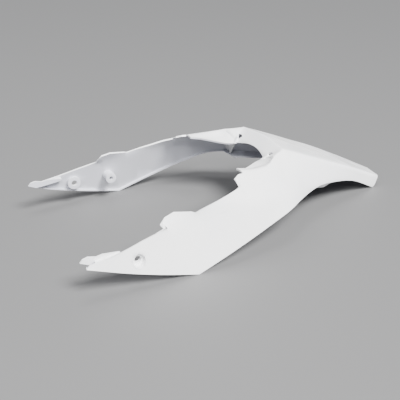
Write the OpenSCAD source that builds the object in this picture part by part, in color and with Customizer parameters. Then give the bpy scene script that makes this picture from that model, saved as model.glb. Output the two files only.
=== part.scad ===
// Motorcycle rear fender: one white plastic moulding with two long side arms, a raised tail panel,
// a seat cut-out with ledges, inset locating tongues, bolt bosses and blind screw posts.
// +X runs back to the tail, +Z is up, and the part is symmetric about Y = 0.
// It stands on its two arm heels and the two lower corners of its tail.

/* [Arms] */
// Length of each arm in front of its heel, the lowest corner of the side face
arm_length = 166; // [140:1:200]
// Width across the two heels
heel_width = 336; // [290:1:400]

/* [Seat bridge] */
// Distance from the heels back to the shoulders of the tail panel
saddle_length = 215; // [185:1:260]
// Height of the tail panel's front rim above the table
rim_height = 129; // [108:1:156]

/* [Tail] */
// Distance from the shoulders back to the lower corners of the tail
tail_length = 226; // [190:1:275]
// Width of the tail panel between its shoulders
panel_width = 130; // [110:1:158]
// Width across the lower corners of the tail
tail_width = 110; // [92:1:132]
// How far the rounded end stands behind the lower corners
tail_nose = 32; // [24:1:40]

/* [Wall] */
// Thickness of the moulding
wall = 2.8; // [2.2:0.1:3.4]
// Width of the lip that returns inward along the lower edge
lip = 7; // [5.5:0.5:9]
// Width of the mud flange where the lip widens behind the arms
flange = 46; // [38:1:54]
// How far the flange dips below the lower edge at its rear end
flange_drop = 13; // [6:1:16]

/* [Bolt bosses] */
// Bolt hole through each arm
bolt_d = 10.4; // [6.4:0.2:12.4]
// Counterbore for the bolt head and its washer
head_d = 19; // [15:0.5:23]
// Depth of the counterbore below the arm's face
head_depth = 6; // [5:0.5:8]
// Thickness of the boss around the counterbore
boss_wall = 2.25; // [1.75:0.25:3]
// Thickness of the floor that the bolt head clamps
boss_floor = 5; // [4:0.5:7]

/* [Screw posts] */
// How far the post reaches in from the arm's face
post_depth = 23; // [18:1:28]
// Thickness of the post around its pilot hole
post_wall = 6.2; // [4:0.1:7.5]
// Pilot hole in the end of the post
pilot_d = 7; // [4:0.2:8.4]
// Depth of the pilot hole
pilot_depth = 12; // [8:1:14]

/* [Locating tongues] */
// How far each front tongue is stepped in from the arm's face
tongue_step = 8; // [6:0.5:10]
// How far the tongue's tip stands ahead of the arm
tongue_reach = 6; // [3:1:10]

/* [Hook slots] */
// Width of the slot in each corner of the seat deck
slot_w = 6; // [4.5:0.5:7]
// Length of the slot up the slope of the deck
slot_l = 12; // [9:0.5:14]

/* [Hidden] */

heel = heel_width / 2;
panel = panel_width / 2;
tail = tail_width / 2;
boss_d = head_d + 2 * boss_wall;
boss_depth = head_depth + boss_floor;
post_d = pilot_d + 2 * post_wall;
crease_r = 5;
fold_r = 12;

// Places along the length, each as a share of the arm, the seat bridge or the tail
function xa(t) = -t * arm_length;
function xs(t) = t * saddle_length;
function xt(t) = saddle_length + t * tail_length;
// Half widths between the tail and the heels, between the panel and the heels, and on the panel
function yf(t) = mix(tail, heel, t);
function yh(t) = mix(panel, heel, t);
function yt(t) = mix(tail, panel, t);
// Heights as a share of the rim's height
function zr(t) = t * rim_height;
function mix(a, b, t) = a + (b - a) * t;

tail_x = xt(1);
nose_x = tail_x + tail_nose;
tip_x = xa(1) - tongue_reach;
// The origin lies under the middle of the overall length
origin_x = (nose_x + tip_x) / 2;

// Styling lines. A row is a station, its point, and 1 where the line has a corner.
// Stations run from -1 at the arm tips, 0 at the heels and 1 at the shoulders to 2 at the tail corners.
// Lower edge of the outer face
hem = [
    [-1.00, [xa(1.00), yf(0.864), zr(0.380)], 0],
    [-0.63, [xa(0.63), yf(0.923), zr(0.217)], 0],
    [-0.30, [xa(0.30), yf(0.968), zr(0.095)], 0],
    [ 0.00, [0, heel, 0], 1],
    [ 0.28, [xs(0.28), yf(0.964), zr(0.150)], 0],
    [ 0.63, [xs(0.63), yf(0.873), zr(0.327)], 0],
    [ 0.84, [xs(0.84), yf(0.782), zr(0.417)], 0],
    [ 1.00, [xs(0.99), yf(0.627), zr(0.437)], 0],
    [ 1.16, [xt(0.16), yf(0.418), zr(0.415)], 0],
    [ 1.30, [xt(0.30), yf(0.300), zr(0.411)], 0],
    [ 1.46, [xt(0.46), yf(0.200), zr(0.360)], 0],
    [ 1.71, [xt(0.71), yf(0.100), zr(0.256)], 0],
    [ 1.99, [xt(0.99), tail, zr(0.010)], 1],
    [ 2.10, [tail_x, tail - 1, 0], 0]];
// Soft fold that parts the shoulder band from the side face
fold = [
    [-1.00, [xa(0.985), yf(0.855), zr(0.398)], 0],
    [-0.71, [xa(0.71), yf(0.859), zr(0.440)], 0],
    [-0.48, [xa(0.48), yf(0.827), zr(0.505)], 0],
    [-0.25, [xa(0.25), yf(0.795), zr(0.572)], 0],
    [ 0.00, [0, yf(0.736), zr(0.620)], 0],
    [ 0.25, [xs(0.25), yf(0.727), zr(0.651)], 0],
    [ 0.49, [xs(0.49), yf(0.736), zr(0.667)], 0],
    [ 0.63, [xs(0.63), yf(0.718), zr(0.655)], 0],
    [ 0.83, [xs(0.83), yf(0.655), zr(0.612)], 0],
    [ 1.00, [xs(0.99), yf(0.555), zr(0.554)], 0],
    [ 1.16, [xt(0.155), yf(0.410), zr(0.480)], 0],
    [ 1.30, [xt(0.30), yf(0.290), zr(0.450)], 0],
    [ 1.46, [xt(0.46), yf(0.195), zr(0.403)], 0],
    [ 1.71, [xt(0.71), yf(0.095), zr(0.298)], 0],
    [ 1.99, [xt(0.99), yf(0.005), zr(0.045)], 1],
    [ 2.10, [tail_x + 5, tail - 1, zr(0.030)], 0]];
// Top edge of the arm with its tab, then the crest of the shoulder, then the ridge of the panel
crest = [
    [-1.00, [xa(0.965), yh(0.835), zr(0.418)], 0],
    [-0.71, [xa(0.71), yh(0.840), zr(0.465)], 0],
    [-0.48, [xa(0.48), yh(0.800), zr(0.534)], 0],
    [-0.25, [xa(0.236), yh(0.770), zr(0.598)], 1],
    [-0.23, [xa(0.262), yh(0.705), zr(0.648)], 1],
    [-0.19, [xa(0.235), yh(0.670), zr(0.700)], 1],
    [-0.14, [xa(0.14), yh(0.645), zr(0.729)], 1],
    [ 0.02, [xs(0.02), yh(0.675), zr(0.693)], 1],
    [ 0.05, [xs(0.05), yh(0.700), zr(0.673)], 1],
    [ 0.16, [xs(0.16), yh(0.670), zr(0.714)], 0],
    [ 0.27, [xs(0.27), yh(0.634), zr(0.749)], 0],
    [ 0.38, [xs(0.38), yh(0.590), zr(0.788)], 0],
    [ 0.45, [xs(0.46), yh(0.535), zr(0.810)], 1],
    [ 0.49, [xs(0.45), yh(0.390), zr(0.872)], 1],
    [ 0.55, [xs(0.53), yh(0.290), zr(0.911)], 1],
    [ 0.71, [xs(0.71), yh(0.295), zr(0.899)], 0],
    [ 0.80, [xs(0.805), yh(0.230), zr(0.915)], 0],
    [ 0.85, [xs(0.85), yh(0.155), zr(0.938)], 0],
    [ 0.93, [xs(0.93), yh(0.050), zr(0.958)], 0],
    [ 1.00, [xs(1.00), panel, zr(0.965)], 1],
    [ 1.15, [xt(0.15), yt(1.20), zr(0.860)], 0],
    [ 1.46, [xt(0.46), yt(1.00), zr(0.636)], 0],
    [ 1.71, [xt(0.69), yt(0.80), zr(0.470)], 0],
    [ 1.99, [xt(0.99), tail, zr(0.219)], 1],
    [ 2.10, [tail_x + 0.6 * tail_nose, tail - 9, zr(0.137)], 0]];
// Inner edge of the ledge, then the front edge of the seat deck, then the centre line of the tail
inner = [
    [ 0.55, [xs(0.53), 1.23 * panel, zr(0.899)], 0],
    [ 0.62, [xs(0.615), 1.21 * panel, zr(0.868)], 1],
    [ 0.71, [xs(0.71), 0.97 * panel, zr(0.838)], 0],
    [ 0.80, [xs(0.805), 0.74 * panel, zr(0.812)], 0],
    [ 0.85, [xs(0.85), 0.68 * panel, zr(0.810)], 0],
    [ 0.88, [xs(0.884), 0.66 * panel, zr(0.814)], 1],
    [ 0.90, [xs(0.90), 0.52 * panel, zr(0.826)], 0],
    [ 0.91, [xs(0.911), 0.35 * panel, zr(0.847)], 0],
    [ 0.92, [xs(0.918), 0.18 * panel, zr(0.860)], 0],
    [ 0.93, [xs(0.921), 0, zr(0.864)], 1],
    [ 1.00, [xs(1.014), 0, rim_height], 1],
    [ 1.15, [xt(0.16), 0, zr(0.885)], 0],
    [ 1.46, [xt(0.465), 0, zr(0.645)], 0],
    [ 1.71, [xt(0.71), 0, zr(0.456)], 0],
    [ 2.10, [nose_x, 0, zr(0.112)], 0]];

// Smooth curve through the rows of a styling line, straight-sided at its corners
function rise(l, i) = (l[i + 1][1] - l[i][1]) / (l[i + 1][0] - l[i][0]);
function bend(l, i, k) =
    i == 0 ? rise(l, 0)
    : i == len(l) - 1 ? rise(l, i - 1)
    : l[i][2] == 1 ? rise(l, k)
    : (rise(l, i - 1) * (l[i + 1][0] - l[i][0]) + rise(l, i) * (l[i][0] - l[i - 1][0]))
        / (l[i + 1][0] - l[i - 1][0]);
function span(l, s, i = 0) = i >= len(l) - 2 || s < l[i + 1][0] ? i : span(l, s, i + 1);
function hermite(p, q, m, n, t) =
    p * (1 + 2 * t) * (1 - t) * (1 - t) + m * t * (1 - t) * (1 - t)
    + q * t * t * (3 - 2 * t) + n * t * t * (t - 1);
function at(l, s) =
    let (i = span(l, s), h = l[i + 1][0] - l[i][0])
    hermite(l[i][1], l[i + 1][1], bend(l, i, i) * h, bend(l, i + 1, i) * h, (s - l[i][0]) / h);

// Stations of the skin, closer together where a line turns
ledge_s = 0.55;
step_s = 0.862;
corner_s = 0.88;
middle_s = 0.93;
lip_full_s = -0.8;
lip_end_s = 0.975;
flange_s = 0.988;
flange_end_s = 1.34;
stations = [-1, -0.9, -0.8, -0.71, -0.6, -0.48, -0.36, -0.25, -0.23, -0.19, -0.14, -0.07, 0, 0.02,
    0.05, 0.105, 0.16, 0.21, 0.27, 0.325, 0.38, 0.42, 0.45, 0.47, 0.49, 0.52, ledge_s, 0.58, 0.62,
    0.665, 0.71, 0.755, 0.8, 0.835, step_s, corner_s, 0.89, 0.9, 0.91, 0.92, middle_s, 0.945, 0.96,
    lip_end_s, flange_s, 1, 1.012, 1.03, 1.06, 1.1, 1.16, 1.23, 1.3, 1.38, 1.46, 1.54, 1.63, 1.71,
    1.78, 1.85, 1.92, 1.97, 1.99, 2.03, 2.06, 2.1];

// The ledge's crease runs from its front corner back and out to the crest, and the deck's crease from
// the cut-out's corner to the shoulder
function crease(s) =
    let (p = at(inner, s), q = at(crest, s))
    s <= step_s ? let (t = (s - ledge_s) / (step_s - ledge_s))
        [mix(p[0], q[0], t), mix(p[1], q[1], 0.88 * t), mix(p[2], q[2], 0.7 * t * t)]
    : s <= corner_s ? mix(p, q, 0.1)
    : s <= 1 ? let (t = (s - corner_s) / (1 - corner_s))
        mix(mix(at(inner, corner_s), at(crest, corner_s), 0.1),
            mix(at(inner, 1), at(crest, 1), 0.9), t)
    : mix(p, q, max(0.6, 0.9 - 2 * (s - 1)));
// Width and dip of the lip at a station: narrow at the tips, widest in the flange behind the arms
function lip_at(s) =
    s < lip_full_s ? [mix(1.25 * wall, lip, (s + 1) / (lip_full_s + 1)), 0]
    : s < lip_end_s ? [lip, 0]
    : s < flange_s ? [mix(lip, flange, (s - lip_end_s) / (flange_s - lip_end_s)), 0]
    : s < flange_end_s ? let (t = (s - flange_s) / (flange_end_s - flange_s))
        [mix(flange, lip, t), flange_drop * t * t]
    : [lip, flange_drop * max(0, 1 - (s - flange_end_s) / 0.2)];
function toward(p, q, d) = p + (q - p) * min(0.4, d / norm(q - p));

// One row of the skin, from the middle out to the crest, down to the hem and round the lip
top_col = 8;
last_col = 19;
function row(s) =
    let (open = s < ledge_s, q = at(crest, s), f = at(fold, s), h = at(hem, s),
        p = open ? q : at(inner, s), c = open ? q : crease(s), r = open ? 0 : crease_r,
        q0 = toward(q, c, r), q2 = toward(q, f, r), q1 = (q0 + 2 * q + q2) / 4,
        f0 = toward(f, q2, fold_r), f2 = toward(f, h, fold_r), f1 = (f0 + 2 * f + f2) / 4)
    concat([for (t = [0:0.25:1]) mix(p, c, t)], [mix(c, q0, 0.5), q0, q1, q2],
        [for (t = [1/3, 2/3]) mix(q2, f0, t)], [f0, f1, f2],
        [for (t = [1:4]) mix(f2, h, t / 5)], [h, h - [0, lip_at(s)[0], lip_at(s)[1]]]);

rows = [for (s = stations) let (r = row(s)) concat(
    [for (j = [last_col:-1:0]) [r[j][0], -r[j][1], r[j][2]]], r)];
n_i = len(rows);
n_j = 2 * last_col + 2;
ledge_i = search(ledge_s, stations)[0];
middle_i = search(middle_s, stations)[0];

// A cell of the skin exists behind the ledge's front end, and outside the top edge ahead of it
function has(i, j) =
    i >= 0 && i < n_i - 1 && j >= 0 && j < n_j - 1 && j != last_col
    && (i >= ledge_i || j < last_col - top_col || j > last_col + top_col);
// The two halves meet on the centre line from the middle of the cut-out to the end of the tail
function joined(i, j) = has(i, j) || (j == last_col && i >= middle_i && i < n_i - 1);
function at_middle(i, j) = i >= middle_i && (j == last_col || j == last_col + 1);
function id(i, j) = i * n_j + (at_middle(i, j) ? last_col : j);
function facing(i, j) =
    let (n = cross(rows[i][j + 1] - rows[i + 1][j], rows[i + 1][j + 1] - rows[i][j]))
    n / max(norm(n), 1e-9);
// Way into the wall at a point of the skin, longer where faces meet at an angle
function inward(i, j) =
    let (beside = at_middle(i, j) ? [last_col - 1, last_col + 1] : [j - 1, j],
        c = [for (a = [i - 1, i]) for (b = beside) if (has(a, b)) facing(a, b)],
        m = len(c) == 0 ? [0, 0, -1] : sum(c) / len(c))
    m / max(m * m, 0.22);
function sum(v, i = 0) = i == len(v) - 1 ? v[i] : v[i] + sum(v, i + 1);
function wall_of(a, b, n) = [[a, b, n + b], [a, n + b, n + a]];

module skin() {
    outside = [for (r = rows) for (v = r) v];
    inside = [for (i = [0:n_i - 1]) for (j = [0:n_j - 1]) rows[i][j] + inward(i, j) * wall];
    n = len(outside);
    faces = [for (i = [0:n_i - 2]) for (j = [0:n_j - 2]) if (has(i, j))
        let (a = id(i, j), b = id(i, j + 1), c = id(i + 1, j), d = id(i + 1, j + 1))
        for (f = concat(
            j < last_col ? [[a, b, c], [b, d, c], [n + a, n + c, n + b], [n + b, n + c, n + d]]
            : [[a, b, d], [a, d, c], [n + a, n + d, n + b], [n + a, n + c, n + d]],
            joined(i - 1, j) ? [] : wall_of(b, a, n), joined(i + 1, j) ? [] : wall_of(c, d, n),
            joined(i, j - 1) ? [] : wall_of(a, c, n), joined(i, j + 1) ? [] : wall_of(d, b, n))) f];
    polyhedron(concat(outside, inside), faces, convexity = 10);
}

// A point of the side face at a station and a height, and the lean of the face there
function face_point(s, z) = let (f = at(fold, s), h = at(hem, s)) mix(f, h, (f[2] - z) / (f[2] - h[2]));
function face_lean(s) = let (f = at(fold, s), h = at(hem, s)) atan2(h[1] - f[1], f[2] - h[2]);
bolt_s = -0.54;
bolt_at = face_point(bolt_s, zr(0.330));
post_s = -0.145;
post_at = face_point(post_s, zr(0.340));

// Round post from the middle of the arm's wall to a depth below its face
module stud(p, lean, d, depth) {
    difference() {
        translate([p[0], p[1] - depth, p[2]]) rotate([-90, 0, 0]) cylinder(d = d, h = 2 * depth, $fn = 64);
        translate(p) rotate([lean, 0, 0]) translate([-d, -wall / 2, -2 * d]) cube([2 * d, 3 * d, 4 * d]);
    }
}

module bolt_hole() {
    translate([bolt_at[0], bolt_at[1] - boss_depth - 1, bolt_at[2]])
        rotate([-90, 0, 0]) cylinder(d = bolt_d, h = 2 * boss_depth, $fn = 48);
    translate([bolt_at[0], bolt_at[1] - head_depth, bolt_at[2]])
        rotate([-90, 0, 0]) cylinder(d = head_d, h = 3 * head_depth, $fn = 64);
}

module pilot_hole() {
    translate([post_at[0], post_at[1] - post_depth - 1, post_at[2]])
        rotate([-90, 0, 0]) cylinder(d = pilot_d, h = pilot_depth + 1, $fn = 40);
}

// Flat plate along Y with its outline given in X and Z
module plate_xz(y, t, outline) {
    translate([0, y + t, 0]) rotate([90, 0, 0]) linear_extrude(t) polygon(outline);
}

// Tongue that tucks in behind the next panel: an inset blade on a slanting step
module tongue() {
    mouth = at(crest, -0.96);
    root = at(crest, -0.68);
    face = root[1] - tongue_step;
    step = 1.3 * wall;
    step_x = mouth[0] + 3;
    plate_xz(face - wall, wall, [
        [tip_x, mouth[2] + 1], [tip_x + 4, mouth[2] + 5.5], [tip_x + 12, mouth[2] + 7.5],
        [tip_x + 24, mouth[2] + 4.5], [tip_x + 33, mouth[2] + 6], [root[0], root[2] - 3],
        [root[0], root[2] - 3 - step], [tip_x + 13, mouth[2] - 5]]);
    plate_xz(face - wall, tongue_step + wall / 2, [
        [step_x, mouth[2] - 1], [root[0], root[2] - 3], [root[0], root[2] - 3 - step],
        [step_x, mouth[2] - 1 - step]]);
}

// Round-ended slot through the deck, from behind the corner of the cut-out up toward the shoulder
module hook_slot() {
    start = at(inner, corner_s) + [7.5, 2, -6];
    heading = 60;
    r = slot_w / 2;
    translate(start) rotate(heading) linear_extrude(6 * wall) {
        translate([0, -r]) square([slot_l - r, slot_w]);
        translate([slot_l - r, 0]) circle(r, $fn = 32);
    }
}

module rear_fender() {
    color("white") translate([-origin_x, 0, 0]) difference() {
        union() {
            skin();
            for (m = [0, 1]) mirror([0, m, 0]) {
                stud(bolt_at, face_lean(bolt_s), boss_d, boss_depth);
                stud(post_at, face_lean(post_s), post_d, post_depth);
                tongue();
            }
        }
        for (m = [0, 1]) mirror([0, m, 0]) {
            bolt_hole();
            pilot_hole();
            hook_slot();
        }
    }
}

rear_fender();
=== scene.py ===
# White moulded rear fender of an off-road motorbike. Metres, +Z up, standing on its tail and its arms.
import math

import bmesh
import bpy
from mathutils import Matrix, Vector
from mathutils.bvhtree import BVHTree


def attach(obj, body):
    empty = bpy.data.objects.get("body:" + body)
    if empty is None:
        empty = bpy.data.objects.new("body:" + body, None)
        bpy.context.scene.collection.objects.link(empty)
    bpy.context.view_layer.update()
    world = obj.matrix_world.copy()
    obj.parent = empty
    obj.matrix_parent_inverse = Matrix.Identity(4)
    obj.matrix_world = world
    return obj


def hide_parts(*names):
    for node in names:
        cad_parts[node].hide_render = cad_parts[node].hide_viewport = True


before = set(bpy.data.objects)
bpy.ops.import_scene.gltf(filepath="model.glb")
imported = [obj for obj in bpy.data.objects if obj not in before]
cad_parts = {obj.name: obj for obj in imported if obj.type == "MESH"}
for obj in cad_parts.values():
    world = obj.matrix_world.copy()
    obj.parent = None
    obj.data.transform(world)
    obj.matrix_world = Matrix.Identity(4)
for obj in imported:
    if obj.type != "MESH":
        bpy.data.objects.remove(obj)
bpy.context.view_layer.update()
print("frame loaded:", sorted(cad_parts))


# Shader helpers, used by both plastics

def addNode(tree, kind, **values):
    node = tree.nodes.new(kind)
    for name, value in values.items():
        setattr(node, name, value)
    return node


def feed(tree, source, target):      # joins one output to one input
    tree.links.new(source, target)


def noise(tree, place, scale, detail, roughness, stretch):
    texture = addNode(tree, "ShaderNodeTexNoise")
    texture.inputs["Scale"].default_value = scale
    texture.inputs["Detail"].default_value = detail
    texture.inputs["Roughness"].default_value = roughness
    if stretch:
        mapping = addNode(tree, "ShaderNodeMapping")
        mapping.inputs["Scale"].default_value = stretch
        feed(tree, place, mapping.inputs["Vector"])
        place = mapping.outputs["Vector"]
    feed(tree, place, texture.inputs["Vector"])
    return texture.outputs["Fac"]


def between(tree, value, low, high, toLow=0.0, toHigh=1.0):      # low to high becomes toLow to toHigh
    node = addNode(tree, "ShaderNodeMapRange", clamp=True, interpolation_type="SMOOTHSTEP")
    for socket, number in (("From Min", low), ("From Max", high), ("To Min", toLow), ("To Max", toHigh)):
        node.inputs[socket].default_value = number
    feed(tree, value, node.inputs["Value"])
    return node.outputs["Result"]


def combine(tree, how, first, second):
    node = addNode(tree, "ShaderNodeMath", operation=how)
    for socket, value in zip(node.inputs, (first, second)):
        if isinstance(value, (int, float)):
            socket.default_value = value
        else:
            feed(tree, value, socket)
    return node.outputs["Value"]


def blendColours(tree, amount, first, second):
    node = addNode(tree, "ShaderNodeMix", data_type="RGBA")
    feed(tree, amount, node.inputs["Factor"])
    for name, value in (("A", first), ("B", second)):
        socket = [s for s in node.inputs if s.name == name and s.type == "RGBA"][0]
        if isinstance(value, tuple):
            socket.default_value = value
        else:
            feed(tree, value, socket)
    return [s for s in node.outputs if s.type == "RGBA"][0]


def roughen(tree, height, distance, strength, under=None):      # one layer of bump on top of another
    node = addNode(tree, "ShaderNodeBump")
    node.inputs["Distance"].default_value = distance
    node.inputs["Strength"].default_value = strength
    feed(tree, height, node.inputs["Height"])
    if under:
        feed(tree, under, node.inputs["Normal"])
    return node.outputs["Normal"]


# fender plastic: a glossy outside and a satin inside, each drifting between two whites; the inside's whites
# are the same plastic darkened and tinted lavender, which is painted shade
plastic = {
    "gloss": {
        "whites": ((0.930, 0.930, 0.925, 1.0), (0.885, 0.890, 0.905, 1.0)),
        "roughness": (0.19, 0.33),
        "peelDepth": 0.00003,
        "grainDepth": 0.000004,
    },
    "shadedSatin": {
        # painted shade: the outside's white darkened and tinted lavender for the inside faces; only the
        # roughness below is a real satin finish
        "whites": ((0.650, 0.655, 0.700, 1.0), (0.590, 0.598, 0.655, 1.0)),
        "roughness": (0.40, 0.56),
        "peelDepth": 0.00004,
        "grainDepth": 0.00003,
    },
    "ior": 1.49,
    "drift": {"scale": 7.0, "detail": 3.0, "cut": (0.35, 0.68)},
    "smear": {"scale": 22.0, "detail": 5.0, "roughness": 0.62, "cut": (0.32, 0.70)},

    "dust": (0.42, 0.39, 0.35, 1.0),
    "speckScale": 140.0,
    "speckRadii": (0.035, 0.080),        # a speck is whole inside the first and gone past the second
    "speckStrength": 0.55,
    "speckPatch": {"scale": 60.0, "cut": (0.57, 0.63)},

    "rubGrey": (0.56, 0.56, 0.57, 1.0),
    "boltPlace": (-0.240161, 0.04257),   # X and Z of the bolt recess and of the screw post
    "postPlace": (-0.174906, 0.04386),
    "boltRub": (0.0094, 0.0132),         # where a bolt's washer rubs, inner and outer radius
    "postRub": (0.0033, 0.0092),
    "ringInnerBlur": 0.0004,
    "ringOuterBlur": 0.0014,
    "ringWear": {"scale": 260.0, "detail": 4.0, "roughness": 0.6, "cut": (0.42, 0.62)},
    "standHeights": (0.0004, 0.0035),    # where it stands: rubbed up to the first, clean past the second
    "standWear": {"scale": 190.0, "detail": 4.0, "roughness": 0.65, "cut": (0.40, 0.60)},
    "rubColour": 0.45,                   # how far a rub turns the white to rubGrey
    "rubRough": 0.20,                    # what it adds to the roughness

    "scuff": {"scale": 1.0, "detail": 3.0, "roughness": 0.6, "cut": (0.60, 0.72),
              "stretch": (38.0, 620.0, 620.0)},      # long along the arms, fine across them
    "scuffPatch": {"scale": 14.0, "cut": (0.46, 0.64)},
    "scuffColour": 0.30,
    "scuffRough": 0.16,

    "wave": {"scale": 16.0, "detail": 1.0, "depth": 0.0008, "strength": 0.10},
    "peel": {"scale": 420.0, "strength": 0.35},
    "grain": {"scale": 2300.0, "strength": 0.5},
    "scuffDepth": 0.00002,
    "scuffStrength": -0.4,               # below zero, because a scuff is cut in
}


def noiseOf(tree, place, kind):
    return noise(tree, place, kind["scale"], kind.get("detail", 2.0), kind.get("roughness", 0.5),
                 kind.get("stretch"))


def blotches(tree, place, kind, toLow=0.0, toHigh=1.0):
    return between(tree, noiseOf(tree, place, kind), *kind["cut"], toLow, toHigh)


def ringMask(tree, place, centre, reach):      # 1 in a ring about an axis along Y, broken up by noise
    flat = addNode(tree, "ShaderNodeMapping")
    flat.inputs["Scale"].default_value = (1.0, 0.0, 1.0)
    feed(tree, place, flat.inputs["Vector"])
    away = addNode(tree, "ShaderNodeVectorMath", operation="DISTANCE")
    away.inputs[1].default_value = (centre[0], 0.0, centre[1])
    feed(tree, flat.outputs["Vector"], away.inputs[0])
    distance = away.outputs["Value"]
    blur = plastic["ringInnerBlur"]
    inner = between(tree, distance, reach[0] - blur, reach[0] + blur)
    outer = between(tree, distance, reach[1] - plastic["ringOuterBlur"], reach[1], 1.0, 0.0)
    worn = blotches(tree, place, plastic["ringWear"])
    return combine(tree, "MULTIPLY", combine(tree, "MULTIPLY", inner, outer), worn)


def standMask(tree, place):      # 1 at the heels and the tail's corners, where the fender stands
    split = addNode(tree, "ShaderNodeSeparateXYZ")
    feed(tree, place, split.inputs["Vector"])
    low = between(tree, split.outputs["Z"], *plastic["standHeights"], 1.0, 0.0)
    return combine(tree, "MULTIPLY", low, blotches(tree, place, plastic["standWear"]))


def speckMask(tree, place):      # dust, in patches
    specks = addNode(tree, "ShaderNodeTexVoronoi")
    specks.inputs["Scale"].default_value = plastic["speckScale"]
    feed(tree, place, specks.inputs["Vector"])
    spots = between(tree, specks.outputs["Distance"], *plastic["speckRadii"], plastic["speckStrength"], 0.0)
    return combine(tree, "MULTIPLY", spots, blotches(tree, place, plastic["speckPatch"]))


def tinted(tree, colour, mask, amount):      # colour turned part of the way to grey under a mask
    return blendColours(tree, combine(tree, "MULTIPLY", mask, amount), colour, plastic["rubGrey"])


def plasticMaterial(name, finish, rings):      # rings are the places that fasteners rub, with their radii
    material = bpy.data.materials.new(name)
    material.use_nodes = True
    tree = material.node_tree
    shader = tree.nodes["Principled BSDF"]
    shader.inputs["IOR"].default_value = plastic["ior"]
    place = addNode(tree, "ShaderNodeTexCoord").outputs["Object"]

    rubbed = standMask(tree, place)
    for centre, reach in rings:
        rubbed = combine(tree, "MAXIMUM", rubbed, ringMask(tree, place, centre, reach))
    scuffs = combine(tree, "MULTIPLY", blotches(tree, place, plastic["scuff"]),
                     blotches(tree, place, plastic["scuffPatch"]))

    colour = blendColours(tree, blotches(tree, place, plastic["drift"]), *finish["whites"])
    colour = blendColours(tree, speckMask(tree, place), colour, plastic["dust"])
    colour = tinted(tree, colour, rubbed, plastic["rubColour"])
    colour = tinted(tree, colour, scuffs, plastic["scuffColour"])
    feed(tree, colour, shader.inputs["Base Color"])

    rough = blotches(tree, place, plastic["smear"], *finish["roughness"])
    rough = combine(tree, "ADD", rough, combine(tree, "MULTIPLY", scuffs, plastic["scuffRough"]))
    rough = combine(tree, "ADD", rough, combine(tree, "MULTIPLY", rubbed, plastic["rubRough"]))
    feed(tree, rough, shader.inputs["Roughness"])

    wave, peel, grain = plastic["wave"], plastic["peel"], plastic["grain"]
    normal = roughen(tree, noiseOf(tree, place, wave), wave["depth"], wave["strength"])
    normal = roughen(tree, noiseOf(tree, place, peel), finish["peelDepth"], peel["strength"], normal)
    normal = roughen(tree, noiseOf(tree, place, grain), finish["grainDepth"], grain["strength"], normal)
    normal = roughen(tree, scuffs, plastic["scuffDepth"], plastic["scuffStrength"], normal)
    feed(tree, normal, shader.inputs["Normal"])
    return material


boltRing = (plastic["boltPlace"], plastic["boltRub"])
postRing = (plastic["postPlace"], plastic["postRub"])
glossWhite = plasticMaterial("glossWhite", plastic["gloss"], [boltRing])
# the inside copy of the plastic, with painted shade in its darker lavender whites
shadedSatinWhite = plasticMaterial("shadedSatinWhite", plastic["shadedSatin"], [boltRing, postRing])
print("plastics mixed")


# fender shell: the moulding, with its edges broken as a real tool leaves them
shell = {
    "node": "rear_fender",
    "mergeDistance": 0.000002,
    "flatAngle": math.radians(0.4),      # neighbouring facets flatter than this become one face
    "smoothAngle": math.radians(32),     # creases sharper than this stay crisp
    "roundAngle": math.radians(38),      # edges sharper than this are rounded
    "roundRadius": 0.0005,
    "roundSegments": 2,
    "crownHalf": 0.060,                  # outward swings from up towards the side over this half-width
    "sideRise": 0.45,                    # how far it still rises there, for 1 sideways
    "facingIn": -0.02,                   # a face that points less outward than this is inside
    "rayStart": 0.0002,
    "topSlope": 0.35,                    # a face turned up more than this is outside if it sees the sky
    "studRadius": 0.0125,                # a boss or a post reaches this far from its axis
}


def outwardAt(place):
    side = max(-1.0, min(1.0, place.y / shell["crownHalf"]))
    return Vector((0.0, side, 1.0 - (1.0 - shell["sideRise"]) * abs(side))).normalized()


def onStud(place):      # on a bolt boss or a screw post
    gaps = [math.hypot(place.x - x, place.z - z) for x, z in (plastic["boltPlace"], plastic["postPlace"])]
    return min(gaps) < shell["studRadius"]


def looksInside(face, tree):      # true between the arms and under the panel
    place = face.calc_center_median()
    outward = outwardAt(place)
    start = place + face.normal * shell["rayStart"]
    if face.normal.z > shell["topSlope"] and not onStud(place):
        return tree.ray_cast(start, Vector((0.0, 0.0, 1.0)))[0] is not None
    if face.normal.dot(outward) < shell["facingIn"]:
        return True
    return tree.ray_cast(start, outward)[0] is not None


def makeFenderShell():
    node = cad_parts[shell["node"]]
    bm = bmesh.new()
    bm.from_mesh(node.data)
    bmesh.ops.remove_doubles(bm, verts=bm.verts, dist=shell["mergeDistance"])
    bmesh.ops.dissolve_limit(bm, angle_limit=shell["flatAngle"], verts=bm.verts, edges=bm.edges)
    bmesh.ops.triangulate(bm, faces=[face for face in bm.faces if len(face.verts) > 4])
    bm.normal_update()
    tree = BVHTree.FromBMesh(bm)
    for face in bm.faces:
        # faces found inside take the satin white with its painted shade
        face.material_index = int(looksInside(face, tree))
        face.smooth = True
    mesh = bpy.data.meshes.new("fenderShell")
    bm.to_mesh(mesh)
    bm.free()
    mesh.set_sharp_from_angle(angle=shell["smoothAngle"])
    mesh.materials.append(glossWhite)
    mesh.materials.append(shadedSatinWhite)
    piece = bpy.data.objects.new("fenderShell", mesh)
    bpy.context.scene.collection.objects.link(piece)
    rounding = piece.modifiers.new("edgeRounding", "BEVEL")
    rounding.limit_method = "ANGLE"
    rounding.angle_limit = shell["roundAngle"]
    rounding.width = shell["roundRadius"]
    rounding.segments = shell["roundSegments"]
    return piece


fenderShell = makeFenderShell()
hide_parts("rear_fender")
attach(fenderShell, "root")
print("fender shell made:", len(fenderShell.data.polygons), "faces")


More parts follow.
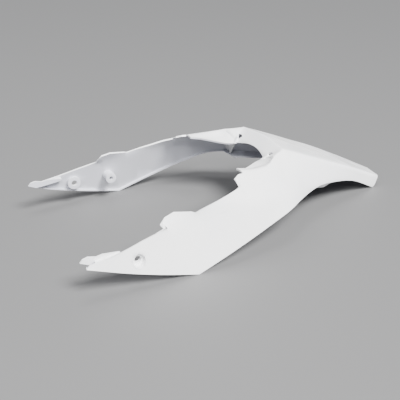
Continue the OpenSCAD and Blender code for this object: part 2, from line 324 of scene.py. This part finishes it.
# gussets: a thin plate inside each shoulder, from the cut-out's corner down to the mud flange
gussets = {
    "pivot": (0.0362, 0.1070),           # X and Z of a point on the slanting plate
    "slant": 0.5625,                     # how far it runs back for each metre down
    "freeCorner": (0.0455, 0.1041),      # Y and Z, in the deck beside the cut-out's corner
    "footWidths": (0.1050, 0.1220),      # Y where it stands in the mud flange, from the free edge outwards
    "wallHeights": (0.070, 0.080, 0.090, 0.100, 0.110),       # Z where it follows the side wall
    "foldCorner": (0.0820, 0.1163),      # in the fold where the side wall meets the ledge
    "topWidths": (0.0700, 0.0500),       # Y where it follows the ledge
    "hollow": (0.0800, 0.0750, 0.0900),  # where rays start: Y of those sideways, Z of those down and up
    "roundTo": 4,                        # places kept, so a tenth of a millimetre
    "thickness": 0.0024,
    "edgeRadius": 0.0004,
    "edgeSegments": 2,
    "beadPath": (                        # rounded rib: from the deck over its edge, then down the free edge
        (0.0436, 0.0500, 0.1120), (0.0350, 0.0450, 0.1040), (0.0617, 0.1045, 0.0590)),
    "beadRadius": 0.0022,
    "beadSides": 20,
}


def addRod(bm, start, end, radius, sides):      # round bar with a ball at its first end
    along = end - start
    rod = bmesh.ops.create_cone(bm, cap_ends=True, segments=sides, radius1=radius, radius2=radius,
                                depth=along.length)
    bmesh.ops.rotate(bm, verts=rod["verts"], cent=(0.0, 0.0, 0.0),
                     matrix=along.to_track_quat("Z", "Y").to_matrix())
    bmesh.ops.translate(bm, verts=rod["verts"], vec=(start + end) / 2)
    ball = bmesh.ops.create_uvsphere(bm, u_segments=sides, v_segments=sides // 2, radius=radius)
    bmesh.ops.translate(bm, verts=ball["verts"], vec=start)


def onPlate(y, z):      # the slanting plate's point at this width and height
    pivotX, pivotZ = gussets["pivot"]
    return Vector((pivotX + (pivotZ - z) * gussets["slant"], y, z))


def wallMiddle(tree, start, heading):      # Y and Z half way through the first wall that a ray meets
    near = tree.ray_cast(start, heading)[0]
    far = tree.ray_cast(near + heading * shell["rayStart"], heading)[0]
    middle = (near + far) / 2
    return round(middle.y, gussets["roundTo"]), round(middle.z, gussets["roundTo"])


def gussetOutline():      # the free edge first, then round inside the walls
    moulding = bmesh.new()
    moulding.from_mesh(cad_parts[shell["node"]].data)
    tree = BVHTree.FromBMesh(moulding)
    moulding.free()
    innerWidth, above, below = gussets["hollow"]
    sideways = Vector((0.0, 1.0, 0.0))
    up = Vector((-gussets["slant"], 0.0, 1.0)).normalized()
    footWidth = gussets["footWidths"][0]
    footHeight = wallMiddle(tree, onPlate(footWidth, above), -up)[1]
    feet = [(width, footHeight) for width in gussets["footWidths"]]
    walls = [(wallMiddle(tree, onPlate(innerWidth, z), sideways)[0], z) for z in gussets["wallHeights"]]
    tops = [(width, wallMiddle(tree, onPlate(width, below), up)[1]) for width in gussets["topWidths"]]
    return [gussets["freeCorner"]] + feet + walls + [gussets["foldCorner"]] + tops


def makeGussets():
    bm = bmesh.new()
    corners = [onPlate(y, z) for y, z in gussetOutline()]
    plate = bm.faces.new([bm.verts.new(corner) for corner in corners])
    bm.normal_update()
    step = plate.normal * gussets["thickness"]
    grown = bmesh.ops.extrude_face_region(bm, geom=[plate], use_keep_orig=True)
    moved = [item for item in grown["geom"] if isinstance(item, bmesh.types.BMVert)]
    bmesh.ops.translate(bm, verts=moved, vec=step)
    bmesh.ops.bevel(bm, geom=bm.edges[:], offset=gussets["edgeRadius"], segments=gussets["edgeSegments"],
                    profile=0.5, affect="EDGES", material=-1)
    plateFaces = len(bm.faces)
    path = [Vector(point) for point in gussets["beadPath"]]
    for start, end in zip(path, path[1:]):
        addRod(bm, start, end, gussets["beadRadius"], gussets["beadSides"])
    # the bead keeps the gloss white while the plate has the satin white's painted shade, so the bead reads
    # lighter
    bm.faces.ensure_lookup_table()
    for face in bm.faces[plateFaces:]:
        face.material_index = 1
    bmesh.ops.mirror(bm, geom=bm.verts[:] + bm.edges[:] + bm.faces[:], axis="Y", merge_dist=-1.0)
    bmesh.ops.recalc_face_normals(bm, faces=bm.faces)
    for face in bm.faces:
        face.smooth = True
    mesh = bpy.data.meshes.new("shoulderGussets")
    bm.to_mesh(mesh)
    bm.free()
    mesh.set_sharp_from_angle(angle=shell["smoothAngle"])
    # the plates take the satin white with its painted shade
    mesh.materials.append(shadedSatinWhite)
    mesh.materials.append(glossWhite)
    plates = bpy.data.objects.new("shoulderGussets", mesh)
    bpy.context.scene.collection.objects.link(plates)
    return plates


shoulderGussets = makeGussets()
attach(shoulderGussets, "root")
print("gussets made:", len(shoulderGussets.data.polygons), "faces")


# studio: pale floor, soft light from in front and above, camera where the photograph was taken
studio = {
    "floorHalf": 60.0,
    "floorGrey": 0.145,
    "floorRoughness": 0.6,
    "worldGrey": (0.70, 0.73, 0.82, 1.0),
    "worldStrength": 0.26,
    "aim": Vector((0.0, 0.0, 0.06)),
    "cameraPlace": Vector((-0.5136, -0.8527, 0.5071)),
    "cameraAzimuth": math.radians(-28.0),
    "cameraElevation": math.radians(26.3),
    "focalPixels": 615.0,                # measured from the photograph, in its own 400 pixels
    "photoWidth": 400.0,
    "sensorWidth": 36.0,
    "nearClip": 0.02,
}
lamps = {      # a sun's size is its angle in radians, an area lamp's is its side in metres
    "keyLamp": {"kind": "SUN", "place": (0.6, -1.7, 2.3), "size": 0.38, "power": 10.0},
    "fillLamp": {"kind": "AREA", "place": (-0.9, -1.6, 1.6), "size": 0.6, "power": 50.0},
    "topLamp": {"kind": "AREA", "place": (0.1, 0.3, 2.3), "size": 0.8, "power": 20.0},
}


def floorMaterial():
    material = bpy.data.materials.new("paleFloor")
    material.use_nodes = True
    tree = material.node_tree
    shader = tree.nodes["Principled BSDF"]
    shader.inputs["Base Color"].default_value = (studio["floorGrey"],) * 3 + (1.0,)
    shader.inputs["Roughness"].default_value = studio["floorRoughness"]
    return material


def makeFloor():
    bm = bmesh.new()
    bmesh.ops.create_grid(bm, x_segments=1, y_segments=1, size=studio["floorHalf"])
    mesh = bpy.data.meshes.new("floor")
    bm.to_mesh(mesh)
    bm.free()
    mesh.materials.append(floorMaterial())
    floor = bpy.data.objects.new("floor", mesh)
    bpy.context.scene.collection.objects.link(floor)
    return floor


def makeLamp(name, lamp):
    light = bpy.data.lights.new(name, lamp["kind"])
    if lamp["kind"] == "SUN":
        light.angle = lamp["size"]
    else:
        light.shape = "SQUARE"
        light.size = lamp["size"]
    light.energy = lamp["power"]
    holder = bpy.data.objects.new(name, light)
    holder.location = lamp["place"]
    aim = studio["aim"] - holder.location
    holder.rotation_euler = aim.to_track_quat("-Z", "Y").to_euler()
    bpy.context.scene.collection.objects.link(holder)


def makeCamera():
    lens = bpy.data.cameras.new("photoCamera")
    lens.sensor_width = studio["sensorWidth"]
    lens.lens = studio["sensorWidth"] * studio["focalPixels"] / studio["photoWidth"]
    lens.clip_start = studio["nearClip"]
    camera = bpy.data.objects.new("photoCamera", lens)
    azimuth, elevation = studio["cameraAzimuth"], studio["cameraElevation"]
    level = math.cos(elevation)
    back = Vector((math.sin(azimuth) * level, -math.cos(azimuth) * level, math.sin(elevation)))
    camera.location = studio["cameraPlace"]
    camera.rotation_euler = (-back).to_track_quat("-Z", "Y").to_euler()
    bpy.context.scene.collection.objects.link(camera)
    bpy.context.scene.camera = camera


def setWorld():
    world = bpy.data.worlds.new("studioAir")
    world.use_nodes = True
    background = world.node_tree.nodes["Background"]
    background.inputs["Color"].default_value = studio["worldGrey"]
    background.inputs["Strength"].default_value = studio["worldStrength"]
    bpy.context.scene.world = world


floor = makeFloor()
for lampName, lamp in lamps.items():
    makeLamp(lampName, lamp)
makeCamera()
setWorld()
print("studio set")
